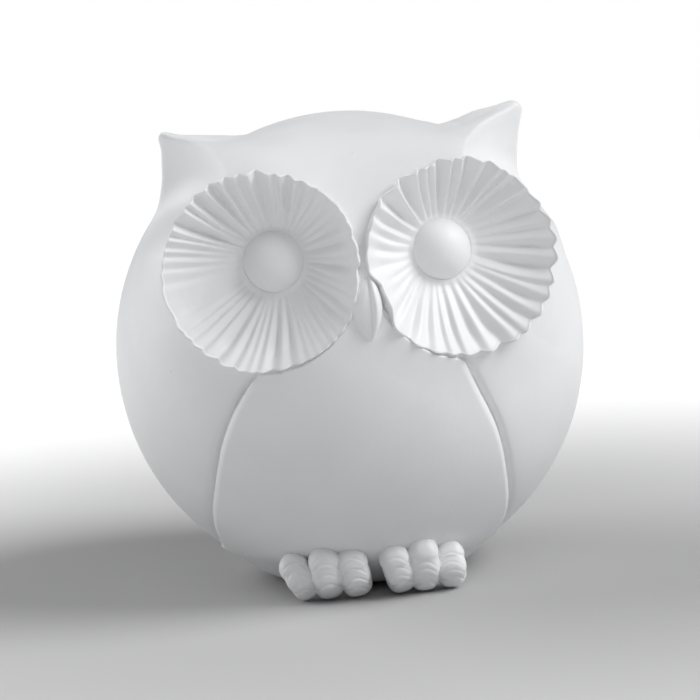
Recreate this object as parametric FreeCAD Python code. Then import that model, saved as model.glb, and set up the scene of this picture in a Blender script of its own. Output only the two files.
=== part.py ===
import FreeCAD, Part
import math
import os

# Round owl figurine: a hollow slip-cast ceramic ball with two ear tufts, a raised belly
# panel and a flat base, and with the pieces that were made apart and luted on: two pleated
# eye discs with their pupil domes, a beak and two feet. Four felt pads carry it.
#
# Millimetres. +Z is up and Z = 0 is the table. The owl faces -Y. Left and right are as
# seen from the front, so left is -X. The origin is the middle of the footprint of the
# whole figurine's box. Nothing moves.

Vector = FreeCAD.Vector

# ---- driving dimensions ----
BALL_R = 100.0              # the ball that body and head share
LOWER_R = 103.0             # the slightly fuller arc below its widest level
LOWER_TURN_DEG = 50.0       # where that arc runs out into the straight flank
CENTRE_H = 97.0             # the ball's centre above the table
AXIS_Y = 3.2                # the ball's axis behind the origin
BASE_H = 1.5                # the flat base above the table, which the pads stand off
BASE_EDGE_R = 4.0           # rounding between flank and base
WALL = 5.5                  # thickness of the casting
FLOOR_WALL = 8.0            # thickness of its base
VENT_R = 5.0                # hole in the base that slip and air leave by

DISC_R = 39.0               # rim of an eye disc
DISC_RIM_H = 2.0            # height of the rim lip
DISC_WALL_R = 38.0          # its side wall, just inside the rim
DISC_SEAT_R = 35.5          # which tapers to this where the disc sits on the body
DISC_H = 13.0               # rim to the seat on the body
DISC_AT = Vector(38.9, -93.0, 39.6)     # middle of the rim from the ball's centre, right disc
DISC_TURN_DEG = 13.0        # the disc looks outward by this
DISC_LIFT_DEG = 7.0         # and upward by this
DISH_RIM_R = 37.4           # the dish inside the rim
DISH_FLOOR_R = 17.6         # narrows to this at its floor, round the pupil
DISH_DEPTH = 15.5
BOSS_R = 24.0               # the boss on its back that sits in the body's socket
BOSS_H = 8.0
PLEATS = 30                 # folds round the dish
PLEAT_H = 2.2               # a ridge stands this far in from the rim, and dies out at the pupil
LUTE_GAP = 0.2              # slip-filled gap round a seated boss, spigot or tenon

PUPIL_R = 12.1
PUPIL_H = 9.0
PUPIL_SPIGOT_R = 5.0
PUPIL_SPIGOT_H = 3.0
PUPIL_INWARD = 2.3          # the pupil sits off the dish's middle, towards the beak
PUPIL_UP = 4.7              # and above it

BROW_SEAT_R = 36.0          # the swelling of the head that carries a disc
BROW_SEAT_DEPTH = 45.0      # its centre below the disc's seat
BROW_BACKING_R = 31.0       # solid clay left behind a socket
BROW_BACKING_H = 7.0

EAR_TIP = Vector(71.6, -26.0, 93.8)     # from the ball's centre, right ear
EAR_TIP_R = 2.5
EAR_ROOT = Vector(50.0, -16.0, 70.0)    # an ear's back grows out of the head here
EAR_ROOT_R = 22.5
EAR_BROW = Vector(37.0, -58.0, 61.0)    # and its front out of the brow over the disc
EAR_BROW_R = 24.0
EAR_SCOOP_AT = Vector(121.0, -77.0, 60.0)
EAR_SCOOP_R = 76.0

BELLY_RAISE = 1.3           # the belly panel stands proud by this
BELLY_GROOVE_W = 4.0
BELLY_GROOVE_D = 2.2
# edges of the belly panel from the ball's centre (x, z), top to bottom
BELLY_LEFT = [(-22, 24), (-38, 6), (-50, -9), (-58, -26), (-62.5, -46), (-64, -62), (-61, -76)]
BELLY_RIGHT = [(20, 24), (34, 4), (43, -14), (50, -30), (54, -48), (56, -64), (54, -78)]
BELLY_FOOT_Z = -86.0

BEAK_AT = Vector(0.6, -98.0, 27.5)      # middle of the beak from the ball's centre
BEAK_HALF = Vector(4.4, 8.5, 15.5)      # half sizes of one of its two lobes
BEAK_LOBE_X = 2.3                       # lobe's middle from the beak's middle line
BEAK_LEAN_DEG = 3.0                     # each lobe leans towards the shared tip
BEAK_TENON_R = 2.5
BEAK_TENON_H = 4.0

TOE_CLEAR = 0.8             # toes stop this far above the table
TOE_KNUCKLE_OUT = 2.5       # the middle of a toe bows out by this
TOE_WAIST = 0.94            # a toe is this much slimmer between its joints
# one toe: x at its top, x at its tip, depth of its top, depth of its tip, radius, height of its top
TOES = {
    "foot_left": [(-33.4, -28.9, -55.0, -55.5, 6.3, -78.4), (-20.6, -19.6, -62.6, -57.5, 6.4, -77.3),
                  (-8.6, -8.4, -63.6, -58.0, 6.4, -78.2)],
    "foot_right": [(5.6, 10.4, -64.2, -57.5, 6.2, -77.8), (19.2, 19.4, -63.4, -57.5, 6.2, -76.4),
                   (30.9, 30.2, -56.0, -55.5, 6.1, -78.4)],
}
TOE_MIDDLE_Z = -84.0
FOOT_TENON_R = 4.0
FOOT_TENON_H = 3.5          # depth of the foot's tenon in the wall
FOOT_TENON_Z = -82.0

PAD_R = 7.0
PAD_H = 2.1
PAD_PITCH_R = 31.0          # pads' middles from the ball's axis
PAD_ANGLES_DEG = {"felt_pad_front_left": 225, "felt_pad_front_right": 315,
                  "felt_pad_back_left": 135, "felt_pad_back_right": 45}
PAD_POCKET_R = 7.3
REACH = 130.0               # longer than anything on the figurine

CENTRE = Vector(0, AXIS_Y, CENTRE_H)
UP = Vector(0, 0, 1)
SIDES = {"left": -1, "right": 1}


def from_centre(offset, side=1):
    """A point given from the ball's centre, mirrored to the left for side -1."""
    return CENTRE + Vector(side * offset.x, offset.y, offset.z)


def body_form(grow):
    """The ball with its fuller lower half and flat base, grown all round by grow."""
    top_r = BALL_R + grow
    low_r = LOWER_R + grow
    low_centre = BALL_R - LOWER_R
    turn = math.radians(LOWER_TURN_DEG)
    base_z = BASE_H - CENTRE_H - grow

    def low_arc(angle):
        return Vector(low_centre + low_r * math.cos(angle), 0, -low_r * math.sin(angle))

    crown = Vector(0, 0, top_r)
    crown_mid = Vector(top_r * math.sin(math.pi / 4), 0, top_r * math.cos(math.pi / 4))
    flank_top = low_arc(turn)
    flank_run = (flank_top.z - base_z) / math.cos(turn)
    flank_foot = Vector(flank_top.x - flank_run * math.sin(turn), 0, base_z)
    edges = [
        Part.Arc(crown, crown_mid, Vector(top_r, 0, 0)).toShape(),
        Part.Arc(Vector(top_r, 0, 0), low_arc(turn / 2), flank_top).toShape(),
        Part.makeLine(flank_top, flank_foot),
        Part.makeLine(flank_foot, Vector(0, 0, base_z)),
        Part.makeLine(Vector(0, 0, base_z), crown),
    ]
    form = Part.Face(Part.Wire(edges)).revolve(Vector(0, 0, 0), UP, 360)
    base_rim = [e for e in form.Edges
                if e.BoundBox.ZMax < base_z + 1e-3 and e.Length > math.pi * flank_foot.x]
    form = form.makeFillet(BASE_EDGE_R, base_rim)
    form.translate(CENTRE)
    return form


def disc_axis(side):
    """The way an eye disc looks."""
    turn = math.radians(DISC_TURN_DEG)
    lift = math.radians(DISC_LIFT_DEG)
    return Vector(side * math.sin(turn) * math.cos(lift), -math.cos(turn) * math.cos(lift),
                  math.sin(lift))


def disc_point(side, depth):
    """A point on an eye disc's axis, depth behind its rim."""
    return from_centre(DISC_AT, side) - disc_axis(side) * depth


def pupil_point(side):
    """The pupil's seat: off the disc's axis, on the floor of the dish."""
    axis = disc_axis(side)
    up = (UP - axis * UP.dot(axis)).normalize()
    inward = axis.cross(up) * side
    return disc_point(side, DISH_DEPTH) + up * PUPIL_UP + inward * PUPIL_INWARD


def cylinder_between(radius, start, end):
    return Part.makeCylinder(radius, (end - start).Length, start, end - start)


def brow(side):
    """Swelling of the head behind an eye disc, cut flat where the disc sits."""
    ball_r = math.hypot(BROW_SEAT_R, BROW_SEAT_DEPTH)
    ball = Part.makeSphere(ball_r, disc_point(side, DISC_H + BROW_SEAT_DEPTH))
    front = Part.makeCylinder(ball_r, ball_r, disc_point(side, DISC_H), disc_axis(side))
    return ball.cut(front)


def disc_wall(side, gap):
    """Tapered side wall of an eye disc, from its seat up to the rim lip."""
    return Part.makeCone(DISC_SEAT_R + gap, DISC_WALL_R + gap, DISC_H - DISC_RIM_H,
                         disc_point(side, DISC_H), disc_axis(side))


def disc_room(side, front_h):
    """The space an eye disc and its boss take up, with front_h kept free from its rim lip on."""
    axis = disc_axis(side)
    front = Part.makeCylinder(DISC_R + LUTE_GAP, front_h, disc_point(side, DISC_RIM_H), axis)
    wall = disc_wall(side, LUTE_GAP)
    boss = Part.makeCylinder(BOSS_R + LUTE_GAP, BOSS_H, disc_point(side, DISC_H + BOSS_H), axis)
    return front.multiFuse([wall, boss])


def ear(side):
    """Ear tuft: drawn out to a tip from head and brow, its outer front scooped hollow."""
    tip = from_centre(EAR_TIP, side)
    parts = [Part.makeSphere(EAR_TIP_R, tip)]
    for offset, radius in ((EAR_ROOT, EAR_ROOT_R), (EAR_BROW, EAR_BROW_R)):
        root = from_centre(offset, side)
        parts.append(Part.makeSphere(radius, root))
        parts.append(Part.makeCone(radius, EAR_TIP_R, (tip - root).Length, root, tip - root))
    tuft = parts[0].multiFuse(parts[1:])
    return tuft.cut(Part.makeSphere(EAR_SCOOP_R, from_centre(EAR_SCOOP_AT, side)))


def belly_prism(grow):
    """The belly panel's outline, widened by grow and pushed out through the front."""
    left = [from_centre(Vector(x - grow, 0, z)) for x, z in BELLY_LEFT]
    right = [from_centre(Vector(x + grow, 0, z)) for x, z in BELLY_RIGHT]
    left_edge = Part.BSplineCurve()
    left_edge.interpolate(left)
    right_edge = Part.BSplineCurve()
    right_edge.interpolate(right)
    foot_left = Vector(left[-1].x, left[-1].y, CENTRE_H + BELLY_FOOT_Z)
    foot_right = Vector(right[-1].x, right[-1].y, CENTRE_H + BELLY_FOOT_Z)
    outline = Part.Wire([
        left_edge.toShape(), Part.makeLine(left[-1], foot_left),
        Part.makeLine(foot_left, foot_right), Part.makeLine(foot_right, right[-1]),
        right_edge.toShape(), Part.makeLine(right[0], left[0]),
    ])
    return Part.Face(outline).extrude(Vector(0, -REACH, 0))


def toe(top_x, tip_x, top_y, tip_y, radius, top_z):
    """One toe: a round finger that comes out of the belly and bends down to the table."""
    top = from_centre(Vector(top_x, top_y, top_z))
    middle = from_centre(Vector((top_x + tip_x) / 2, (top_y + tip_y) / 2 - TOE_KNUCKLE_OUT,
                                TOE_MIDDLE_Z))
    tip = Vector(tip_x, AXIS_Y + tip_y, TOE_CLEAR + radius)
    solids = [Part.makeSphere(radius, p) for p in (top, middle, tip)]
    waist = radius * TOE_WAIST
    solids += [cylinder_between(waist, top, middle), cylinder_between(waist, middle, tip)]
    return solids[0].multiFuse(solids[1:])


def foot_tenon(name, gap):
    """Stub on the back of a foot that enters the wall of the body."""
    middle_toe = TOES[name][1]
    out = from_centre(Vector(middle_toe[0], middle_toe[2], FOOT_TENON_Z))
    inward = Vector(CENTRE.x - out.x, CENTRE.y - out.y, 0).normalize()
    start = surface_point(out, inward) - inward * FOOT_TENON_R
    return Part.makeCylinder(FOOT_TENON_R + gap, FOOT_TENON_R + FOOT_TENON_H + gap, start, inward)


def surface_point(outside, inward):
    """Where a line from outside first meets the plain body."""
    ray = Part.makeLine(outside - inward * REACH, outside + inward * REACH)
    inside = ray.common(PLAIN_BODY)
    return min((v.Point for v in inside.Vertexes), key=lambda p: (p - outside).dot(inward))


def foot(name):
    toes = [toe(*row) for row in TOES[name]]
    solid = toes[0].multiFuse(toes[1:]).cut(PLAIN_BODY)
    solid = max(solid.Solids, key=lambda s: s.Volume)
    return solid.fuse(foot_tenon(name, 0))


def beak_tenon(gap):
    middle = from_centre(BEAK_AT)
    front = Vector(middle.x, AXIS_Y - math.sqrt(BALL_R ** 2 - BEAK_AT.z ** 2), middle.z)
    start = front - Vector(0, BEAK_TENON_R, 0)
    return Part.makeCylinder(BEAK_TENON_R + gap, BEAK_TENON_R + BEAK_TENON_H + gap, start,
                             Vector(0, 1, 0))


def beak():
    """Two almond lobes side by side that lean together to one tip."""
    lobes = []
    for side in SIDES.values():
        lobe = Part.makeSphere(1.0)
        squeeze = FreeCAD.Matrix()
        squeeze.scale(BEAK_HALF.x, BEAK_HALF.y, BEAK_HALF.z)
        lobe = lobe.transformGeometry(squeeze)
        lobe.rotate(Vector(0, 0, 0), Vector(0, 1, 0), side * BEAK_LEAN_DEG)
        lobe.translate(from_centre(BEAK_AT) + Vector(side * BEAK_LOBE_X, 0, 0))
        lobes.append(lobe)
    solid = lobes[0].fuse(lobes[1]).cut(BODY_BEFORE_SOCKETS)
    for side in SIDES.values():
        solid = solid.cut(disc_room(side, DISC_RIM_H + LUTE_GAP))
    solid = max(solid.Solids, key=lambda s: s.Volume)
    return solid.fuse(beak_tenon(0))


def pleat_ring(side, depth, ridge):
    """Zigzag section of the dish: furrows and ridges in turn, depth behind the rim."""
    axis = disc_axis(side)
    up = (UP - axis * UP.dot(axis)).normalize()
    radius = DISH_RIM_R + (DISH_FLOOR_R - DISH_RIM_R) * depth / DISH_DEPTH
    corners = []
    for index in range(2 * PLEATS):
        spoke = FreeCAD.Rotation(axis, index * 180.0 / PLEATS).multVec(up)
        corners.append(disc_point(side, depth) + spoke * (radius - ridge * (index % 2)))
    return Part.makePolygon(corners + corners[:1])


def eye_disc(side):
    """Dish with a thin rim, pleats round it, a boss behind and a hole for the pupil."""
    axis = disc_axis(side)
    rim = Part.makeCylinder(DISC_R, DISC_RIM_H, disc_point(side, DISC_RIM_H), axis)
    wall = disc_wall(side, 0)
    boss = Part.makeCylinder(BOSS_R, BOSS_H, disc_point(side, DISC_H + BOSS_H), axis)
    solid = rim.multiFuse([wall, boss])
    dish = Part.makeLoft([pleat_ring(side, 0, PLEAT_H), pleat_ring(side, DISH_DEPTH, 0)],
                         True, True)
    solid = solid.cut(dish)
    return solid.cut(pupil_spigot(side, LUTE_GAP))


def pupil_spigot(side, gap):
    axis = disc_axis(side)
    seat = pupil_point(side)
    depth = PUPIL_SPIGOT_H + gap
    return Part.makeCylinder(PUPIL_SPIGOT_R + gap, depth, seat - axis * depth, axis)


def pupil(side):
    """Low dome on a short spigot."""
    axis = disc_axis(side)
    seat = pupil_point(side)
    ball_r = (PUPIL_R ** 2 + PUPIL_H ** 2) / (2 * PUPIL_H)
    ball = Part.makeSphere(ball_r, seat + axis * (PUPIL_H - ball_r))
    front = Part.makeCylinder(ball_r * 2, ball_r * 2, seat, axis)
    return ball.common(front).fuse(pupil_spigot(side, 0))


def pad_middle(name):
    angle = math.radians(PAD_ANGLES_DEG[name])
    return Vector(PAD_PITCH_R * math.cos(angle), AXIS_Y + PAD_PITCH_R * math.sin(angle), 0)


def cavity():
    """The hollow inside: even walls, with solid clay behind the eye sockets."""
    ball = Part.makeSphere(BALL_R - WALL, CENTRE)
    floor_top = BASE_H + FLOOR_WALL
    below = Part.makeBox(2 * REACH, 2 * REACH, REACH, Vector(-REACH, -REACH, floor_top - REACH))
    hollow = ball.cut(below)
    for side in SIDES.values():
        depth = DISC_H + BOSS_H + BROW_BACKING_H
        hollow = hollow.cut(Part.makeCylinder(BROW_BACKING_R, REACH, disc_point(side, depth),
                                              disc_axis(side)))
    return hollow


def body_before_sockets():
    form = PLAIN_BODY
    for side in SIDES.values():
        form = form.fuse(brow(side)).fuse(ear(side))
    panel = body_form(BELLY_RAISE).common(belly_prism(0))
    skin = body_form(2 * BELLY_RAISE).cut(body_form(-BELLY_GROOVE_D))
    groove = skin.common(belly_prism(BELLY_GROOVE_W).cut(belly_prism(0)))
    return form.fuse(panel).cut(groove)


def body_shell():
    """The casting: outer form, sockets for what is luted on, hollow, vent and pad pockets."""
    form = BODY_BEFORE_SOCKETS
    for side in SIDES.values():
        form = form.cut(disc_room(side, REACH))
    form = form.cut(beak_tenon(LUTE_GAP))
    for name in TOES:
        form = form.cut(foot_tenon(name, LUTE_GAP))
    form = form.cut(cavity())
    form = form.cut(Part.makeCylinder(VENT_R, BASE_H + FLOOR_WALL + 1, Vector(0, AXIS_Y, 0)))
    for name in PAD_ANGLES_DEG:
        form = form.cut(Part.makeCylinder(PAD_POCKET_R, PAD_H, pad_middle(name)))
    return form


def save(name, shape):
    assert shape.isValid(), name
    assert len(shape.Solids) == 1, name
    shape.exportStep(os.path.join("parts", name + ".step"))
    box = shape.BoundBox
    print(f"{name:22s} {shape.Volume / 1000:8.2f} cm3  x {box.XMin:7.2f} {box.XMax:7.2f}  "
          f"y {box.YMin:7.2f} {box.YMax:7.2f}  z {box.ZMin:7.2f} {box.ZMax:7.2f}")


os.makedirs("parts", exist_ok=True)
PLAIN_BODY = body_form(0)
BODY_BEFORE_SOCKETS = body_before_sockets()

save("body_shell", body_shell())
for word, way in SIDES.items():
    save("eye_disc_" + word, eye_disc(way))
    save("pupil_" + word, pupil(way))
save("beak", beak())
for foot_name in TOES:
    save(foot_name, foot(foot_name))
for pad_name in PAD_ANGLES_DEG:
    save(pad_name, Part.makeCylinder(PAD_R, PAD_H, pad_middle(pad_name)))
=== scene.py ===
import math

import bmesh
import bpy
import numpy as np
from mathutils import Matrix, Vector


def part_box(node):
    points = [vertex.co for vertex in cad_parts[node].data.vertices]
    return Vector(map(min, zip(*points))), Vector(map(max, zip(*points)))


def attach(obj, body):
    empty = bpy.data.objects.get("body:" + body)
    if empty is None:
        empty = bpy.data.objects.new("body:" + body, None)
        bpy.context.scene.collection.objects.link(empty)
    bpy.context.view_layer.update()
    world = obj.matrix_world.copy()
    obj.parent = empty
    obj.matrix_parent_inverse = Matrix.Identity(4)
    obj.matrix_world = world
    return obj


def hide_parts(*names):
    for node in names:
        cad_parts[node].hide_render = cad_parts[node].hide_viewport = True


# Round white ceramic owl. Shapes are worked out in millimetres from the middle of the ball that
# body and head share: +Z up, the owl faces -Y, left is -X. Each piece goes where the packed
# frame says, and becomes metres when its mesh is made.

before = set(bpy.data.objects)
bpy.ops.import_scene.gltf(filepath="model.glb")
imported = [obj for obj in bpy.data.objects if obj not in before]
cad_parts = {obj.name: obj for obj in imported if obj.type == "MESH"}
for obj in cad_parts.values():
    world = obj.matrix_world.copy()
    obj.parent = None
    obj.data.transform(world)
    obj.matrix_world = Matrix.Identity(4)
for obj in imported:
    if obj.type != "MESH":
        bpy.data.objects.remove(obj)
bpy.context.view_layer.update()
MM = 0.001
ROOT = "root"
SIDES = {"left": -1, "right": 1}


def box_mm(node):
    lo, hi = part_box(node)
    return np.array(lo) / MM, np.array(hi) / MM


# ---- places taken from the frame ----
BODY_LO, BODY_HI = box_mm("body_shell")
BALL_R = (BODY_HI[0] - BODY_LO[0]) / 2
CENTRE = np.array([(BODY_LO[0] + BODY_HI[0]) / 2, BODY_HI[1] - BALL_R, BODY_HI[2] - BALL_R])
BASE_Z = BODY_LO[2] - CENTRE[2]
TABLE_Z = -CENTRE[2]

# ---- body ----
LOWER_R = 103.0             # the slightly fuller arc below the widest level
LOWER_TURN = math.radians(50)
BASE_EDGE_R = 4.0
VENT_R = 5.0
VENT_DEPTH = 9.0
PAD_R = 7.0
POCKET_DEPTH = 0.6
BODY_CELLS = 200            # grid cells along each side of the cube that is blown up to the body
FRONT_PULL = 0.35           # how much the grid crowds towards the face and belly

# ---- eye discs ----
DISC_R = 39.0
DISC_TURN = math.radians(13)
DISC_LIFT = math.radians(7)
DISC_SEAT = 13.0            # rim to the seat on the body
DISC_SEAT_R = 35.5
DISC_WALL_R = 38.4
UPRIGHT_WALL = 4.0          # the wall is upright down to this depth
DISC_BOSS_R = 24.0
DISC_BOSS_END = 21.0
DISH_DEPTH = 14.2           # rim to the glaze round the pupil
PUPIL_SEAT = 15.5           # rim to the floor the pupil stands on
DISH_BEND = 1.22            # above 1 the dish is hollower than a cone
RIM_SQUASH = 0.968          # a rim is this much lower than wide
SPOKES = 900
PUPIL_R = 12.8
PUPIL_H = 9.0
PUPIL_UP = 4.7
PUPIL_INWARD = {"left": 2.7, "right": 3.5}
LUTE = 0.3                  # a luted piece enters its neighbour's glaze by this
DISC_ENTERS = 1.4           # and a disc's uneven wall enters the brow by about this

# seeds of the random draws
BODY_SEED, DISC_SEED, TOE_SEED, PAD_SEED = 11, 21, 41, 61


# ================= small tools =================

def smoothstep(lo, hi, x):
    t = np.clip((x - lo) / (hi - lo), 0, 1)
    return t * t * (3 - 2 * t)


def length(v):
    return np.sqrt((v * v).sum(axis=-1))


def smooth_union(a, b, reach):
    h = np.clip(0.5 + 0.5 * (b - a) / reach, 0, 1)
    return b * (1 - h) + a * h - reach * h * (1 - h)


def smooth_cut(a, b, reach):
    """a without b, with the edge between them rounded."""
    return -smooth_union(-a, b, reach)


def round_cone(p, a, b, ra, rb):
    """Distance to the hull of a ball of radius ra at a and one of rb at b."""
    a = np.asarray(a, float)
    ba = np.asarray(b, float) - a
    l2 = ba @ ba
    rr = ra - rb
    a2 = l2 - rr * rr
    pa = p - a
    y = pa @ ba
    z = y - l2
    off = pa * l2 - np.outer(y, ba)
    x2 = (off * off).sum(axis=1)
    y2 = y * y * l2
    z2 = z * z * l2
    k = math.copysign(rr * rr, rr) * x2
    end = np.sqrt(x2 + z2) / l2 - rb
    start = np.sqrt(x2 + y2) / l2 - ra
    side = (np.sqrt(x2 * a2 / l2) + y * rr) / l2 - ra
    return np.where(np.sign(z) * a2 * z2 > k, end, np.where(np.sign(y) * a2 * y2 < k, start, side))


def smooth_line(points, per_span):
    """Points of a smooth line through the given ones."""
    p = np.asarray(points, float)
    p = np.vstack([2 * p[0] - p[1], p, 2 * p[-1] - p[-2]])
    line = []
    for i in range(1, len(p) - 2):
        for t in np.linspace(0, 1, per_span, endpoint=False):
            line.append(0.5 * (2 * p[i] + (p[i + 1] - p[i - 1]) * t
                               + (2 * p[i - 1] - 5 * p[i] + 4 * p[i + 1] - p[i + 2]) * t ** 2
                               + (3 * p[i] - p[i - 1] - 3 * p[i + 1] + p[i + 2]) * t ** 3))
    line.append(p[-2])
    return np.array(line)


def waves(p, wavelength, count, seed):
    """Slow seeded unevenness between about -1 and 1."""
    rng = np.random.default_rng(seed)
    total = np.zeros(len(p))
    for _ in range(count):
        way = rng.normal(size=3)
        way *= 2 * math.pi / (wavelength * rng.uniform(0.7, 1.4) * np.linalg.norm(way))
        total += np.sin(p @ way + rng.uniform(0, 2 * math.pi))
    return total / count


def make_piece(name, verts, faces, nodes, slot, offset=CENTRE):
    """A mesh piece from millimetre points, standing for the named CAD nodes."""
    mesh = bpy.data.meshes.new(name)
    mesh.from_pydata(((verts + offset) * MM).tolist(), [], [tuple(f) for f in faces])
    mesh.validate()
    bm = bmesh.new()
    bm.from_mesh(mesh)
    bmesh.ops.recalc_face_normals(bm, faces=bm.faces)
    bm.to_mesh(mesh)
    bm.free()
    mesh.polygons.foreach_set("use_smooth", [True] * len(mesh.polygons))
    piece = bpy.data.objects.new(name, mesh)
    bpy.context.scene.collection.objects.link(piece)
    mesh.materials.append(MATERIALS[slot])
    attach(piece, ROOT)
    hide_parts(*nodes)
    return piece


def circle(count):
    """Angles of this many points round a circle."""
    return np.arange(count) * 2 * math.pi / count


def loft(rings):
    """Verts and faces of a closed skin over rings of points, with a fan at each end."""
    rings = np.asarray(rings, float)
    count, around = rings.shape[:2]
    verts = np.vstack([rings.reshape(-1, 3), rings[0].mean(axis=0), rings[-1].mean(axis=0)])
    start, end = len(verts) - 2, len(verts) - 1
    k = np.arange(around)
    after = (k + 1) % around
    faces = []
    for i in range(count - 1):
        low, high = i * around, (i + 1) * around
        faces += np.stack([low + k, low + after, high + after, high + k], axis=1).tolist()
    last = (count - 1) * around
    faces += [(start, int(b), int(a)) for a, b in zip(k, after)]
    faces += [(end, int(last + a), int(last + b)) for a, b in zip(k, after)]
    return verts, faces


# ================= materials =================

def new_material(name):
    material = bpy.data.materials.new(name)
    material.use_nodes = True
    tree = material.node_tree
    return material, tree, tree.nodes["Principled BSDF"]


def add_node(tree, kind, **inputs):
    """A node with these inputs set: From_Min is the input "From Min"."""
    made = tree.nodes.new(kind)
    for key, value in inputs.items():
        made.inputs[key.replace("_", " ")].default_value = value
    return made


def add_math(tree, operation, second=None):
    """A math node, with its second input set if one is given."""
    made = tree.nodes.new("ShaderNodeMath")
    made.operation = operation
    if second is not None:
        made.inputs[1].default_value = second
    return made


def add_ramp(tree, dark, light):
    """A ramp between two stops, each a position and a colour."""
    made = tree.nodes.new("ShaderNodeValToRGB")
    for stop, (position, colour) in zip(made.color_ramp.elements, (dark, light)):
        stop.position = position
        stop.color = (*colour, 1)
    return made


GLAZE_CLOUD = (0.955, 0.955, 0.96)      # the cloudy patches are the tint times this
SPECK_SHADE = 0.80          # a pit is as dark as this share of the glaze
SPECK_SHARE = 0.07          # share of the cells that have a pit
GLAZE_ROUGH = (0.40, 0.52)


def glaze(name, tint, seed):
    """Satin white glaze: faint cloudiness, fine orange peel, slow waves and rare tiny pits.
    The seed moves the pattern, so that no two slots show the same one."""
    material, tree, shader = new_material(name)
    link = tree.links.new
    place = add_node(tree, "ShaderNodeTexCoord")
    shift = add_node(tree, "ShaderNodeMapping")
    shift.inputs["Location"].default_value = (seed * 0.37, seed * 0.21, seed * 0.53)
    link(place.outputs["Object"], shift.inputs["Vector"])

    cloud = add_node(tree, "ShaderNodeTexNoise", Scale=28.0, Detail=4.0, Roughness=0.55)
    patch = [value * share for value, share in zip(tint, GLAZE_CLOUD)]
    shade = add_ramp(tree, (0.3, patch), (0.7, tint))
    link(shift.outputs["Vector"], cloud.inputs["Vector"])
    link(cloud.outputs["Fac"], shade.inputs["Fac"])

    pits = add_node(tree, "ShaderNodeTexVoronoi", Scale=170.0, Randomness=1.0)
    speck = add_node(tree, "ShaderNodeMapRange", From_Min=0.035, From_Max=0.085,
                     To_Min=SPECK_SHADE, To_Max=1.0)
    rare = add_node(tree, "ShaderNodeSeparateColor")
    few = add_math(tree, "GREATER_THAN", SPECK_SHARE)
    keep = add_math(tree, "MAXIMUM")
    link(shift.outputs["Vector"], pits.inputs["Vector"])
    link(pits.outputs["Distance"], speck.inputs["Value"])
    link(pits.outputs["Color"], rare.inputs["Color"])
    link(rare.outputs["Red"], few.inputs[0])
    link(speck.outputs["Result"], keep.inputs[0])
    link(few.outputs["Value"], keep.inputs[1])
    spotted = add_node(tree, "ShaderNodeVectorMath")
    spotted.operation = "SCALE"
    link(shade.outputs["Color"], spotted.inputs[0])
    link(keep.outputs["Value"], spotted.inputs["Scale"])
    link(spotted.outputs["Vector"], shader.inputs["Base Color"])

    satin = add_node(tree, "ShaderNodeTexNoise", Scale=60.0, Detail=3.0)
    rough = add_node(tree, "ShaderNodeMapRange", From_Min=0.3, From_Max=0.7,
                     To_Min=GLAZE_ROUGH[0], To_Max=GLAZE_ROUGH[1])
    link(shift.outputs["Vector"], satin.inputs["Vector"])
    link(satin.outputs["Fac"], rough.inputs["Value"])
    link(rough.outputs["Result"], shader.inputs["Roughness"])

    peel = add_node(tree, "ShaderNodeTexNoise", Scale=420.0, Detail=3.0, Roughness=0.5)
    wavy = add_node(tree, "ShaderNodeTexNoise", Scale=55.0, Detail=2.0, Roughness=0.4)
    fine = add_node(tree, "ShaderNodeBump", Strength=0.10, Distance=0.0006)
    slow = add_node(tree, "ShaderNodeBump", Strength=0.18, Distance=0.0012)
    link(shift.outputs["Vector"], peel.inputs["Vector"])
    link(shift.outputs["Vector"], wavy.inputs["Vector"])
    link(peel.outputs["Fac"], fine.inputs["Height"])
    link(wavy.outputs["Fac"], slow.inputs["Height"])
    link(fine.outputs["Normal"], slow.inputs["Normal"])
    link(slow.outputs["Normal"], shader.inputs["Normal"])
    shader.inputs["Specular IOR Level"].default_value = 0.45
    return material


def felt(name):
    """Matted off-white wool: mottled, fibrous and quite without gloss."""
    material, tree, shader = new_material(name)
    link = tree.links.new
    place = add_node(tree, "ShaderNodeTexCoord")
    mottle = add_node(tree, "ShaderNodeTexNoise", Scale=900.0, Detail=6.0, Roughness=0.7)
    fibre = add_node(tree, "ShaderNodeTexNoise", Scale=2600.0, Detail=4.0, Distortion=1.5)
    shade = add_ramp(tree, (0.35, (0.46, 0.45, 0.42)), (0.65, (0.66, 0.65, 0.61)))
    rough = add_node(tree, "ShaderNodeMapRange", To_Min=0.85, To_Max=1.0)
    bump = add_node(tree, "ShaderNodeBump", Strength=0.7, Distance=0.0005)
    for texture in (mottle, fibre):
        link(place.outputs["Object"], texture.inputs["Vector"])
    link(mottle.outputs["Fac"], shade.inputs["Fac"])
    link(shade.outputs["Color"], shader.inputs["Base Color"])
    link(mottle.outputs["Fac"], rough.inputs["Value"])
    link(rough.outputs["Result"], shader.inputs["Roughness"])
    link(fibre.outputs["Fac"], bump.inputs["Height"])
    link(bump.outputs["Normal"], shader.inputs["Normal"])
    shader.inputs["Sheen Weight"].default_value = 0.3
    return material


WHITE = (0.86, 0.865, 0.873)
FOOT_PAINTED_LIGHT_WHITE = (0.925, 0.93, 0.938)       # painted light: whiter than WHITE, to lift the toes, which lie in the belly's shade
MATERIALS = {
    "glaze_body": glaze("glaze_body", WHITE, 1),
    "glaze_disc_left": glaze("glaze_disc_left", WHITE, 2),
    "glaze_disc_right": glaze("glaze_disc_right", WHITE, 3),
    "glaze_pupil": glaze("glaze_pupil", WHITE, 4),
    "glaze_beak": glaze("glaze_beak", WHITE, 5),
    # the feet's glaze is whiter than the rest: painted light against the belly's shade
    "glaze_foot": glaze("glaze_foot", FOOT_PAINTED_LIGHT_WHITE, 6),
    "felt": felt("felt"),
}


# ================= eye disc frames =================

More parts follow.
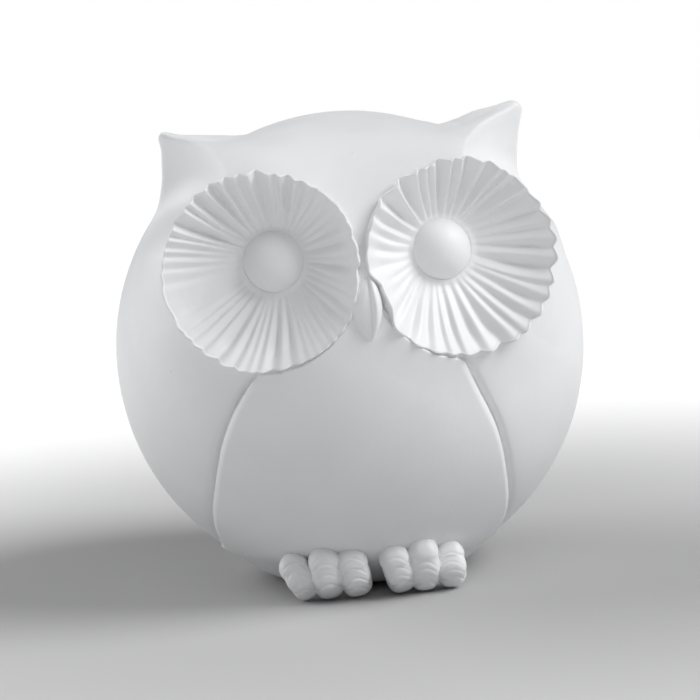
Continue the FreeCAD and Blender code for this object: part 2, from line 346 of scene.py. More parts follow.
class Disc:
    """Where an eye disc lies: the middle of its rim, the way it looks, its top and right."""

    def __init__(self, side, word):
        self.side = side
        self.axis = np.array([side * math.sin(DISC_TURN) * math.cos(DISC_LIFT),
                              -math.cos(DISC_TURN) * math.cos(DISC_LIFT), math.sin(DISC_LIFT)])
        reach = DISC_R * np.sqrt(1 - self.axis ** 2)
        lo, hi = box_mm("eye_disc_" + word)
        outer = hi[0] - reach[0] if side > 0 else lo[0] + reach[0]
        self.middle = np.array([outer, lo[1] + reach[1], hi[2] - reach[2]]) - CENTRE
        up = np.array([0, 0, 1.0]) - self.axis * self.axis[2]
        self.up = up / np.linalg.norm(up)
        self.right = np.cross(self.up, self.axis)

    def point(self, right, up, depth):
        """A point this far to the right, up and behind the rim, as arrays or numbers."""
        right, up, depth = np.broadcast_arrays(right, up, depth)
        return (self.middle + right[..., None] * self.right + up[..., None] * self.up
                - depth[..., None] * self.axis)

    def place_of(self, p):
        """How far points are to the right, up and behind the rim."""
        off = p - self.middle
        return off @ self.right, off @ self.up, -(off @ self.axis)


DISCS = {word: Disc(side, word) for word, side in SIDES.items()}


def disc_wall_r(depth):
    """The outer wall's radius: nearly upright below the rim, then drawn in to the seat."""
    return DISC_WALL_R - (DISC_WALL_R - DISC_SEAT_R) * smoothstep(UPRIGHT_WALL, DISC_SEAT, depth)


# ================= body =================

BROW_SEAT_R = 36.0
FULL_BROW = (45.0, 14.0, 4.5)   # how flat the brow round a disc is, its blend, its collar's height
LEAN_BROW = (18.0, 6.0, 0.0)    # the same where an ear's hollow runs down to the disc
# the brow carries on down between the discs: points along its middle line, and its roundness
BRIDGE = [(0.0, -64.0, 72.0), (0.0, -80.5, 54.0), (0.0, -91.5, 36.0)]
BRIDGE_R = 4.5
BRIDGE_BLEND = 8.0
# ball of the right ear's brow, that its tip is joined to; the left one mirrors it
EAR_BROW = ((37.0, -58.0, 61.0), 24.0)
# balls of each ear from its tip down, as a middle and a radius, and its blend into the head
EARS = {
    -1: ([((-71.8, -26.0, 93.0), 1.7), ((-54.0, -16.0, 72.7), 20.5)], 8.0),
    1: ([((71.8, -26.0, 94.2), 3.2), ((60.5, -22.0, 83.8), 11.8),
         ((54.0, -16.0, 73.0), 20.5)], 4.0),
}
EAR_BALL_BLEND = 4.0
# ball that scoops out the front of each ear, left and right
EAR_HOLLOWS = [((-112.0, -71.0, 67.0), 63.8), ((120.0, -80.0, 57.0), 79.0)]
EAR_EDGE = 0.8              # rounding of the crisp ridge from an ear's tip to its disc
EAR_HOLLOW_FADE = 7.0       # the hollow runs out into the flank over this
EAR_HOLLOW_Z = (44.0, 68.0)     # and it has gone at the lower of these levels

# belly panel's edges (x, z), top to bottom
BELLY_LEFT = [(-22, 24), (-38, 6), (-50, -9), (-58, -26), (-62.5, -46), (-64, -62), (-61, -76)]
BELLY_RIGHT = [(20, 24), (34, 4), (43, -14), (50, -30), (54, -48), (56, -64), (54, -78)]
BELLY_RAISE = 1.2
EDGE_STEPS = 14             # points of an edge's smooth line between two of the above
# along the way out from the panel's edge, in mm, with the inside negative:
BELLY_ROUND = (-3.4, 0.6)   # where the panel's rounded shoulder starts and ends
BELLY_GROOVE = (2.1, 1.1, 1.25, 1.6)    # the groove's depth, place, half width and sharpness
BELLY_SLOPE = (0.85, 0.2, 1.2, 4.5)     # depth of the slope, its start and full depth, its run-out
BELLY_LOW = (-87, -79)      # the relief grows between these levels
BELLY_HIGH = (30, 22)       # and it has gone at the first of these

# one toe: x at its top, x at its tip, y of its top, y of its tip, radius, height of its top
TOES = {
    "foot_left": [(-32.9, -28.9, -58.7, -55.5, 6.5, -82.5),
                  (-21.2, -19.6, -65.1, -57.5, 6.6, -79.5),
                  (-10.2, -8.4, -66.0, -58.0, 6.6, -80.5)],
    "foot_right": [(6.9, 9.7, -66.6, -57.5, 6.4, -80.2),
                   (18.6, 19.4, -65.9, -57.5, 6.4, -78.5),
                   (29.9, 30.6, -59.3, -55.5, 6.4, -82.5)],
}
TOE_KNUCKLE_OUT = 2.5       # the middle of a toe bows out by this
TOE_CLEAR = 0.8             # toes stop this far above the table
# the body swells behind a toe: how much thinner than the toe at its top and middle, and the blend
TOE_SWELL_LESS = (3.2, 4.0)
TOE_SWELL_BLEND = 5.0
PAD_NODES = ["felt_pad_front_left", "felt_pad_front_right", "felt_pad_back_left",
             "felt_pad_back_right"]

# how the body is traced along ways from the ball's middle
TRACE_FROM = 140.0          # outside everything
TRACE_TIMES = 70
TRACE_STRIDE = 0.9          # share of the distance that is stepped each time
TRACE_CLOSE = 2e-3
FRONT_WAY = np.array([0, -0.95, 0.2])
BASE_WAY = -0.86            # ways that point lower than this meet the base
HOLE_SNAP = 0.55            # grid points this close to a hole's edge are moved onto it
UNEVEN = 0.22               # height of the body's slow unevenness
UNEVEN_WAVES = (70, 8)      # its wavelength and how many waves it has


def toe_joints(row):
    """Top, middle and tip of a toe's middle line, and its radius."""
    top_x, tip_x, top_y, tip_y, radius, top_z = row
    top = np.array([top_x, top_y, top_z])
    tip = np.array([tip_x, tip_y, TABLE_Z + TOE_CLEAR + radius])
    return top, (top + tip) / 2 - [0, TOE_KNUCKLE_OUT, 0], tip, radius


def plain_body(p):
    """Distance to the ball with its fuller lower half, straight flank and flat base."""
    rho, z = np.hypot(p[:, 0], p[:, 1]), p[:, 2]
    shift = LOWER_R - BALL_R
    turned = np.arctan2(-z, rho + shift)
    low_arc = np.hypot(rho + shift, z) - LOWER_R
    foot = (-shift + LOWER_R * math.cos(LOWER_TURN), -LOWER_R * math.sin(LOWER_TURN))
    flank = (rho - foot[0]) * math.cos(LOWER_TURN) - (z - foot[1]) * math.sin(LOWER_TURN)
    low_side = np.where(turned < LOWER_TURN, low_arc, flank)
    side = np.where(z >= 0, np.hypot(rho, z) - BALL_R, low_side)
    base = BASE_Z - z
    over = np.hypot(np.maximum(side + BASE_EDGE_R, 0), np.maximum(base + BASE_EDGE_R, 0))
    return np.minimum(np.maximum(side, base), -BASE_EDGE_R) + over


def browed_body(p, flatness, blend, collar):
    """The plain body with a swelling behind each disc."""
    d = plain_body(p)
    for disc in DISCS.values():
        right, up, depth = disc.place_of(p)
        seat = DISC_SEAT - collar
        ball = np.hypot(np.hypot(right, up), depth - seat - flatness)
        ball -= math.hypot(BROW_SEAT_R, flatness)
        d = smooth_union(d, np.maximum(ball, seat - depth), blend)
    return d


def body_distance(p):
    """Distance to the body with brows, ears and swellings for the toes, less the discs' room."""
    full = d = browed_body(p, *FULL_BROW)
    for a, b in zip(BRIDGE[:-1], BRIDGE[1:]):
        d = smooth_union(d, round_cone(p, a, b, BRIDGE_R, BRIDGE_R), BRIDGE_BLEND)
    for side, (balls, blend) in EARS.items():
        (tip, tip_r), (brow, brow_r) = balls[0], EAR_BROW
        tuft = round_cone(p, np.array([side, 1, 1]) * brow, tip, brow_r, tip_r)
        for middle, radius in balls[1:]:
            tuft = smooth_union(tuft, round_cone(p, middle, tip, radius, tip_r), EAR_BALL_BLEND)
        d = smooth_union(d, tuft, blend)
    high = smoothstep(*EAR_HOLLOW_Z, p[:, 2])
    lean = full * (1 - high) + browed_body(p, *LEAN_BROW) * high
    for middle, radius in EAR_HOLLOWS:
        hollow = -smooth_union(radius - length(p - middle), lean, EAR_HOLLOW_FADE)
        d = smooth_cut(d, hollow, EAR_EDGE)
    for rows in TOES.values():
        for row in rows:
            top, middle, _, radius = toe_joints(row)
            swell = round_cone(p, top, middle, *(radius - less for less in TOE_SWELL_LESS))
            d = smooth_union(d, swell, TOE_SWELL_BLEND)
    for disc in DISCS.values():
        right, up, depth = disc.place_of(p)
        room = np.maximum(np.hypot(right, up / RIM_SQUASH) - disc_wall_r(depth) + DISC_ENTERS,
                          depth - DISC_SEAT)
        boss = np.maximum(np.hypot(right, up) - DISC_BOSS_R - LUTE, depth - DISC_BOSS_END - LUTE)
        d = np.maximum(d, -np.minimum(room, boss))
    return d


def base_holes():
    """Middle, radius and depth of the vent and of the pockets that the felt pads sit in."""
    holes = [(np.zeros(2), VENT_R, VENT_DEPTH)]
    for node in PAD_NODES:
        lo, hi = box_mm(node)
        holes.append((((lo + hi) / 2 - CENTRE)[:2], PAD_R + LUTE, POCKET_DEPTH))
    return holes


def cube_sphere(cells):
    """Directions and quads of a cube's grid blown up to a sphere."""
    grid = np.arange(cells + 1)
    corners, quads = [], []
    for axis in range(3):
        for end in (0, cells):
            u, v = np.meshgrid(grid, grid, indexing="ij")
            lattice = np.empty((cells + 1, cells + 1, 3), int)
            lattice[..., axis] = end
            lattice[..., (axis + 1) % 3] = u
            lattice[..., (axis + 2) % 3] = v
            first = sum(len(c) for c in corners)
            corners.append(lattice.reshape(-1, 3))
            index = first + np.arange((cells + 1) ** 2).reshape(cells + 1, cells + 1)
            ring = [index[:-1, :-1], index[1:, :-1], index[1:, 1:], index[:-1, 1:]]
            if end == 0:
                ring.reverse()
            quads.append(np.stack([r.ravel() for r in ring], axis=1))
    corners, quads = np.vstack(corners), np.vstack(quads)
    corners, place = np.unique(corners, axis=0, return_inverse=True)
    ways = np.tan((corners / cells * 2 - 1) * math.pi / 4)
    return ways / length(ways)[:, None], place.ravel()[quads]


def edge_distance(p, edge):
    """Distance from each point to a line on the ball, given as its (x, z) points."""
    line = smooth_line(edge, EDGE_STEPS)
    y = -np.sqrt(np.maximum(BALL_R ** 2 - (line ** 2).sum(axis=1), 1))
    line = np.stack([line[:, 0], y, line[:, 1]], axis=1)
    best = np.full(len(p), np.inf)
    for a, b in zip(line[:-1], line[1:]):
        ab = b - a
        t = np.clip((p - a) @ ab / (ab @ ab), 0, 1)
        best = np.minimum(best, length(p - a - t[:, None] * ab))
    return best


def belly_relief(p):
    """Height added by the belly panel: proud inside, a crisp V round it, a soft slope beyond."""
    near = (p[:, 1] < 0) & (p[:, 2] < BELLY_HIGH[0])
    q = p[near]
    left, right = (smooth_line(edge, EDGE_STEPS) for edge in (BELLY_LEFT, BELLY_RIGHT))
    left_x = np.interp(-q[:, 2], -left[:, 1], left[:, 0])
    right_x = np.interp(-q[:, 2], -right[:, 1], right[:, 0])
    inside = (q[:, 0] > left_x) & (q[:, 0] < right_x)
    out = np.minimum(edge_distance(q, BELLY_LEFT), edge_distance(q, BELLY_RIGHT))
    s = np.where(inside, -out, out)
    rise = BELLY_RAISE * (1 - smoothstep(*BELLY_ROUND, s))
    deep, at, half, sharp = BELLY_GROOVE
    groove = -deep * np.exp(-(np.abs(s - at) / half) ** sharp)
    low, start, end, run_out = BELLY_SLOPE
    slope = -low * smoothstep(start, end, s) * np.exp(-np.maximum(s - at, 0) / run_out)
    fade = smoothstep(*BELLY_LOW, q[:, 2]) * smoothstep(*BELLY_HIGH, q[:, 2])
    relief = np.zeros(len(p))
    relief[near] = (rise + groove + slope) * fade
    return relief


def build_body():
    """Traced from outside along ways from the middle, then given its relief and base holes."""
    ways, quads = cube_sphere(BODY_CELLS)
    ways = ways + FRONT_PULL * FRONT_WAY
    ways /= length(ways)[:, None]
    holes = base_holes()
    under = ways[:, 2] < BASE_WAY
    flat = ways[under] * (BASE_Z / ways[under, 2])[:, None]
    for middle, radius, _ in holes:
        off = flat[:, :2] - middle
        far = length(off)
        near = np.abs(far - radius) < HOLE_SNAP
        flat[near, :2] = middle + off[near] * (radius / far[near])[:, None]
    ways[under] = flat / length(flat)[:, None]

    reach = np.full(len(ways), TRACE_FROM)
    live = np.arange(len(ways))
    for _ in range(TRACE_TIMES):
        d = body_distance(ways[live] * reach[live, None])
        reach[live] -= d * TRACE_STRIDE
        live = live[np.abs(d) > TRACE_CLOSE]
        if not len(live):
            break
    p = ways * reach[:, None]
    lift = belly_relief(p) + UNEVEN * waves(p, *UNEVEN_WAVES, BODY_SEED)
    on_seat = np.zeros(len(p), bool)
    for disc in DISCS.values():
        right, up, depth = disc.place_of(p)
        on_seat |= (np.hypot(right, up) < DISC_WALL_R) & (depth < DISC_BOSS_END + 1)
    lift[on_seat | (p[:, 2] < BASE_Z + 1.5)] = 0
    p += ways * lift[:, None]

    on_base = (p[:, 2] < BASE_Z + 0.01) & (ways[:, 2] < 0)
    for middle, radius, depth in holes:
        inner = on_base & (length(p[:, :2] - middle) < radius - 0.3)
        p[inner, 2] = BASE_Z + depth
    return make_piece("body", p, quads, ["body_shell"], "glaze_body")


# ================= eye discs =================

# folds of a dish: angle of the crest at the rim and at the pupil, clockwise in degrees as seen
# from the front, and how deep the furrow after it is
FOLD_TURN = 4.0             # the angles below start this far clockwise of the disc's top
FOLDS = {
    "left": [
        (3, 5, 0.8), (10.5, 12, 1.1), (19.5, 22, 0.9), (28.5, 29, 0.8), (36.5, 34, 0.7),
        (41, 40, 1.0), (48, 48, 0.6), (56, 57, 0.8), (63, 66, 0.9), (76, 80, 0.8), (84, 86, 1.1),
        (95.5, 94, 0.9), (101, 103, 0.7), (107, 113, 0.9), (118, 121, 1.0), (126, 128, 0.9),
        (133, 134, 0.9), (138, 141, 0.9), (144, 146, 0.7), (149, 150, 0.8), (155.5, 156, 0.9),
        (166.5, 165, 1.0), (178.5, 176, 1.0), (184.5, 183, 0.8), (191.5, 188, 0.9),
        (200.5, 194, 1.0), (213, 208, 1.0), (221.5, 217, 0.9), (229, 226, 0.8), (235, 233, 0.3),
        (258, 256, 0.5), (268.5, 266.5, 0.7), (275.5, 274, 0.8), (282, 280, 0.8),
        (289, 287, 0.8), (295.5, 291, 1.1), (308.5, 301, 0.9), (314, 306.5, 0.9),
        (325.5, 321, 0.9), (335, 329, 0.8), (343.5, 340, 0.7), (351, 350, 0.9),
    ],
    "right": [
        (1.5, 14, 1.0), (13.5, 22, 1.0), (25, 29.5, 0.9), (31, 34, 0.8), (44, 46, 0.8),
        (57, 58, 0.8), (69, 70, 0.7), (80, 79, 0.8), (91.5, 92, 1.1), (106, 113, 0.9),
        (115, 119, 0.8), (127.5, 132, 1.1), (140.5, 144, 0.8), (149, 151, 1.1), (165, 164, 0.9),
        (180, 180, 0.9), (189, 193, 0.8), (198.5, 199, 0.8), (211, 209, 0.8), (225, 222, 0.6),
        (237, 233, 0.5), (250, 242, 0.6), (258, 252, 0.6), (271, 261, 0.7), (283, 275, 0.8),
        (292, 285, 1.0), (301.5, 303, 1.0), (317.5, 319, 0.9), (331.5, 332, 0.8),
        (338, 341, 0.7), (343.5, 351, 1.0), (355, 363, 0.9),
    ],
}
# short pinches at the rim: angle, how far in they reach (1 is the rim), width in degrees, height
NIPS = {
    "left": [
        (12, 0.62, 1.5, 1.5), (97, 0.5, 1.2, 0.5), (131, 0.7, 1.6, 0.9), (141.5, 0.75, 1.3, 0.7),
        (233, 0.7, 2.0, 0.9), (348, 0.6, 1.4, 0.8), (352.5, 0.7, 1.2, 0.8), (240, 0.8, 2.5, 0.5),
        (249, 0.8, 2.0, 0.4), (162, 0.75, 1.5, 0.8), (172, 0.8, 1.5, 0.7), (207, 0.75, 1.8, 0.8),
    ],
    "right": [
        (39, 0.6, 2.2, 1.0), (50, 0.75, 1.6, 0.7), (63, 0.8, 2.0, 0.6), (86, 0.6, 1.3, 0.7),
        (122, 0.7, 1.5, 0.8), (173, 0.7, 2.0, 0.8), (205, 0.7, 1.8, 0.7), (231, 0.75, 2.4, 0.8),
        (243, 0.75, 2.2, 0.9), (341, 0.7, 1.4, 0.7), (311, 0.75, 1.8, 0.7),
    ],
}
# each rim is pressed in beside the beak: middle and half width in degrees, and depth
RIM_DENTS = {"left": (100, 16, 0.8), "right": (245, 19, 3.6)}
FOLD_LOW, FOLD_TOP = 0.42, 0.80     # depth of a furrow against its width, low on a disc and on top
FOLD_MOST = 4.4             # no furrow is deeper than this
FOLD_AT_PUPIL = 0.3         # furrows shrink towards this share of their depth near the pupil
FOLD_BLUR_HIGH, FOLD_BLUR_LOW = 8, 15   # times the pleats are blurred, on top and low on a disc
LOW_TRIM = 0.45             # low on a disc a lobe bulges out of the rim by this share of its height
LOW_WIDER = 1.1             # and the rim is wider there by this
FLOOR_AT = (0.24, 0.48)     # where between two crests the furrow is deepest
ROUND_CREST = 0.25          # 0 for round lobes between V furrows, 1 for the reverse
SHARP_CREST = 0.40          # the same round the top of a disc
SHARP_MIDDLE = {"left": 338, "right": 352}      # middle of that top part
# slow waves of the rim, outward and in depth: height and how many go round
RIM_SWAYS_OUT = ((0.45, 2), (0.35, 5))
RIM_SWAYS_DEEP = ((0.5, 3), (0.35, 7))
RIM_INSET = 0.8             # leaves room for those waves within DISC_R
LIP = 0.5                   # half the thickness of the rim
GLAZE_POOL = 0.8            # glaze gathers this high against the pupil
POOL_CLOSES = 1.25          # and closes on the dome by this
DISH_RUN = 25.0             # about how far a dish runs from the pupil to the rim
SOCKET_R = 5.2              # hole of a dish that the pupil's spigot stands in
SOCKET_DEPTH = 3.2
PUPIL_GAP = 0.2
BOSS_CHAMFER = 0.6
DISH_RINGS = 56


def fold_height(angle, t, radius, folds, uneven, above):
    """Height of the pleated surface over the smooth dish: round lobes between V furrows, but
    thin ridges between wide hollows round the top."""
    rim, pupil, deep = (np.array(c, float) for c in zip(*folds))
    scale, floor, sway, phase = uneven
    at = pupil + (rim - pupil) * t + sway * math.sin(math.pi * t) * np.sin(phase + 3 * t)
    order = np.argsort(at)
    at, deep, floor = at[order], (deep * scale)[order], floor[order]
    at = np.concatenate([[at[-1] - 360], at, [at[0] + 360]])
    deep = np.concatenate([[deep[-1]], deep, [deep[0]]])
    floor_at = np.concatenate([[floor[-1]], floor, [floor[0]]])
    turned = (angle - at[0]) % 360 + at[0]
    i = np.clip(np.searchsorted(at, turned, side="right") - 1, 0, len(at) - 2)
    span = at[i + 1] - at[i]
    u = (turned - at[i]) / span
    floor = floor_at[i]
    s = np.clip(np.where(u < floor, u / floor, (1 - u) / (1 - floor)), 0, 1) * math.pi / 2
    ratio = FOLD_LOW + (FOLD_TOP - FOLD_LOW) * above
    depth = np.minimum(deep[i] * ratio * np.radians(span) * radius, FOLD_MOST)
    sharp = ROUND_CREST + (SHARP_CREST - ROUND_CREST) * above
    return -depth * (sharp * np.sin(s) ** 0.9 + (1 - sharp) * (1 - np.cos(s)))


def nip_height(angle, t, nips):
    """Height added by the short pinches at the rim."""
    total = np.zeros(len(angle))
    for at, inner, width, height in nips:
        off = (angle - at + 180) % 360 - 180
        total += height * smoothstep(inner, 1.0, t) * np.exp(-np.sqrt(off ** 2 + 0.3) / width)
    return total


def blur(ring, times):
    for _ in range(times):
        ring = (np.roll(ring, 1) + 2 * ring + np.roll(ring, -1)) / 4
    return ring


def slow_waves(way, sways, phases):
    """Slow waves round a rim."""
    return sum(height * np.sin(count * way + phase)
               for (height, count), phase in zip(sways, phases))


def build_disc(word):
    """A pleated dish: socket, floor, pleats, lip, wall, seat and boss, as rings in that order."""
    disc = DISCS[word]
    rng = np.random.default_rng(DISC_SEED + disc.side)
    folds = len(FOLDS[word])
    uneven = (rng.uniform(0.8, 1.2, folds), rng.uniform(*FLOOR_AT, folds),
              rng.uniform(0.2, 1.1, folds), rng.uniform(0, 2 * math.pi, folds))
    angle = np.arange(SPOKES) * 360 / SPOKES            # as the fold lists count
    way = np.radians(angle + FOLD_TURN)
    e_right, e_up = np.sin(way), np.cos(way)
    rim_up = e_up * RIM_SQUASH
    pupil_right, pupil_up = -disc.side * PUPIL_INWARD[word], PUPIL_UP
    dent_at, dent_half, dent = RIM_DENTS[word]
    above = smoothstep(0.25, 0.85, np.cos(np.radians(angle - SHARP_MIDDLE[word])))
    off = (angle - dent_at + 180) % 360 - 180
    pressed = dent * (1 - smoothstep(0.35 * dent_half, dent_half, np.abs(off)))
    phase = rng.uniform(0, 2 * math.pi, 4)
    slow_r = slow_waves(way, RIM_SWAYS_OUT, phase[:2])
    slow_d = slow_waves(way, RIM_SWAYS_DEEP, phase[2:])
    rim_r = DISC_R - RIM_INSET - 2 * LIP + slow_r - pressed + LOW_WIDER * (1 - above)

    rings = []
    floor_r = PUPIL_R + PUPIL_GAP
    floor = [(SOCKET_R, PUPIL_SEAT + SOCKET_DEPTH), (SOCKET_R, PUPIL_SEAT + SOCKET_DEPTH / 2),
             (SOCKET_R, PUPIL_SEAT), (9.0, PUPIL_SEAT), (floor_r, PUPIL_SEAT),
             (floor_r, DISH_DEPTH + 0.5)]
    for radius, depth in floor:
        rings.append(disc.point(pupil_right + e_right * radius, pupil_up + e_up * radius, depth))
    inner_r = PUPIL_R - POOL_CLOSES
    for t in np.linspace(0, 1, DISH_RINGS) ** 0.9:
        right = (1 - t) * (pupil_right + e_right * inner_r) + t * e_right * rim_r
        up = (1 - t) * (pupil_up + e_up * inner_r) + t * rim_up * rim_r
        radius = np.hypot(right - pupil_right, up - pupil_up)
        height = fold_height(angle, t, radius, FOLDS[word], uneven, above)
        height *= FOLD_AT_PUPIL + (1 - FOLD_AT_PUPIL) * smoothstep(0.0, 0.6, t)
        height += nip_height(angle, t, NIPS[word])
        height = (blur(height, FOLD_BLUR_HIGH) * above
                  + blur(height, FOLD_BLUR_LOW) * (1 - above))
        height *= smoothstep(-0.05, 0.16, t)
        depth = (DISH_DEPTH * (1 - t ** DISH_BEND) + slow_d * t ** 2
                 - GLAZE_POOL * (1 - smoothstep(0.0, 0.11, t)))
        lean = math.atan2(DISH_DEPTH * DISH_BEND * max(t, 0.05) ** (DISH_BEND - 1), DISH_RUN)
        trimmed = (1 - above) * smoothstep(0.6, 1.0, t)
        in_by = (math.sin(lean) * (1 - trimmed) - LOW_TRIM * trimmed) * height
        on_by = math.cos(lean) * height
        rings.append(disc.point(right - e_right * in_by, up - e_up * in_by, depth - on_by))
    edge_r, edge_d = rim_r - in_by, depth - on_by
    for turn in np.radians([35, 75, 115, 150]):
        out = LIP * (1 - math.cos(turn))
        rings.append(disc.point(e_right * (edge_r + out), rim_up * (edge_r + out),
                                edge_d - LIP * math.sin(turn) * 0.9))
    out_r = edge_r + 2 * LIP
    for q in np.linspace(0.03, 1, 22):
        depth = edge_d + (DISC_SEAT + LUTE - edge_d) * q
        follow = 1 - smoothstep(0.0, 0.75, q)
        radius = out_r * follow + disc_wall_r(depth) * (1 - follow)
        squash = follow * RIM_SQUASH + 1 - follow
        rings.append(disc.point(e_right * radius, e_up * radius * squash, depth))
    back = DISC_SEAT + LUTE
    for radius, depth in [(30, back), (DISC_BOSS_R, back), (DISC_BOSS_R, 17),
                          (DISC_BOSS_R, DISC_BOSS_END - BOSS_CHAMFER),
                          (DISC_BOSS_R - BOSS_CHAMFER, DISC_BOSS_END), (12, DISC_BOSS_END)]:
        rings.append(disc.point(e_right * radius, e_up * radius, depth))
    return make_piece("eye_" + word, *loft(rings), ["eye_disc_" + word], "glaze_disc_" + word)


SPIGOT_R = 4.9
SPIGOT_DEPTH = 3.0
PUPIL_SINKS = 0.2           # the dome's underside lies this far into the dish's floor


def build_pupil(word):
    """Dome cut from a ball, a touch out of round, on a short spigot."""
    disc = DISCS[word]
    way = circle(144)
    wobble = 1 + 0.006 * np.sin(3 * way + disc.side) + 0.004 * np.sin(7 * way)
    under = PUPIL_SEAT + PUPIL_SINKS
    rings = [(SPIGOT_R, PUPIL_SEAT + SPIGOT_DEPTH), (SPIGOT_R, under), (8.5, under),
             (PUPIL_R - 0.5, under)]
    ball_r = (PUPIL_R ** 2 + PUPIL_H ** 2) / (2 * PUPIL_H)
    edge_turn = math.acos((ball_r - PUPIL_H) / ball_r)
    for turn in edge_turn * np.linspace(1, 0.02, 44):
        depth = PUPIL_SEAT - PUPIL_H + ball_r * (1 - math.cos(turn))
        rings.append((ball_r * math.sin(turn), depth))
    rows = [disc.point(-disc.side * PUPIL_INWARD[word] + np.sin(way) * r * wobble,
                       PUPIL_UP + np.cos(way) * r * wobble, d) for r, d in rings]
    return make_piece("pupil_" + word + "_dome", *loft(rows), ["pupil_" + word], "glaze_pupil")


# ================= beak =================

BEAK_OVER, BEAK_UNDER = 1.5, 1.8    # the leaf's line runs this far past the CAD beak; it ends
                                    # a little short of the line's ends
# a width or height along the leaf: its most, and the powers that place it and make it fuller
BEAK_SWELL = (1.0, 1.3, 0.85)
BEAK_WING = (7.0, 1.7, 0.8)
BEAK_STAND = (7.8, 1.05, 0.7)
BEAK_BEAD = 5.4             # width of the bead where the leaf swells most
BEAK_EDGE = 0.15            # least width of wing and bead
BEAK_STAND_LEAST = 1.0
BEAK_FOLD_LEFT = 0.7        # at the top the fold lies this far left of the middle
BEAK_WING_LOW = 0.84        # height of the wing as a share of the bead's


def along_leaf(v, most, place, fuller):
    return most * math.sin(math.pi * v ** place) ** fuller


def build_beak():
    """Folded leaf: a broad low left wing, and a narrow bead standing proud along its right."""
    lo, hi = box_mm("beak")
    lo, hi = lo - CENTRE, hi - CENTRE
    top, tip = hi[2] + BEAK_OVER, lo[2] - BEAK_UNDER
    middle = (lo[0] + hi[0]) / 2
    rows, across = 80, 144
    rings = []
    turn = circle(across)
    c, s = np.cos(turn), np.sin(turn)
    for v in np.linspace(0.012, 0.988, rows):
        z = top + (tip - top) * v
        swell = along_leaf(v, *BEAK_SWELL)
        wing = along_leaf(v, *BEAK_WING) + BEAK_EDGE
        bead = BEAK_BEAD * swell + BEAK_EDGE
        fold_x = middle - BEAK_FOLD_LEFT + BEAK_FOLD_LEFT * v
        skin = -math.sqrt(BALL_R ** 2 - z ** 2)
        stand = along_leaf(v, *BEAK_STAND) + BEAK_STAND_LEAST
        x = np.where(c > 0, c * bead, c * wing)
        round_wing = np.sqrt(np.clip(1 - (x / (wing * 1.02)) ** 2, 0, 1))
        low = BEAK_WING_LOW * stand * round_wing * (x < bead)
        round_off = np.clip(1 - ((x - bead * 0.5) / (bead * 0.52)) ** 2, 0, 1)
        height = np.maximum(low * smoothstep(bead, bead * 0.3, x), stand * round_off ** 0.45)
        height = blur(np.where(s > 0, height * np.clip(s * 4, 0, 1), 0), 2)
        y = np.where(s >= 0, skin - height, skin - 3.0 * s * swell + 0.4)
        rings.append(np.stack([fold_x + x, y, np.full(across, z)], axis=1))
    return make_piece("beak_leaf", *loft(rings), ["beak"], "glaze_beak")


# ================= feet =================

# how far each crease lies below a toe's top, as a share of the toe's height, top to nail
CREASES = {
    "foot_left": [(0.16, 0.33, 0.52, 0.70), (0.14, 0.27, 0.46, 0.64), (0.17, 0.36, 0.54, 0.74)],
    "foot_right": [(0.22, 0.40, 0.56, 0.70), (0.40, 0.52, 0.64, 0.79), (0.20, 0.38, 0.54, 0.70)],
}
CREASE_STRENGTH = {"foot_left": 1.8, "foot_right": 0.9}
CREASE_DEPTH = (0.18, 0.26)     # least and most, before that strength
NAIL_CREASE_DEPTH = 0.42
CREASE_TILT = 0.012
CREASE_WIDTH = 0.017        # half width, as a share of the toe's height
CREASE_ARCH = 0.24          # how far a crease drops from a toe's middle to its sides
NAIL_BULGE = 0.28
TOE_VOXEL = 0.22            # size of the cells that fuse a foot's toes


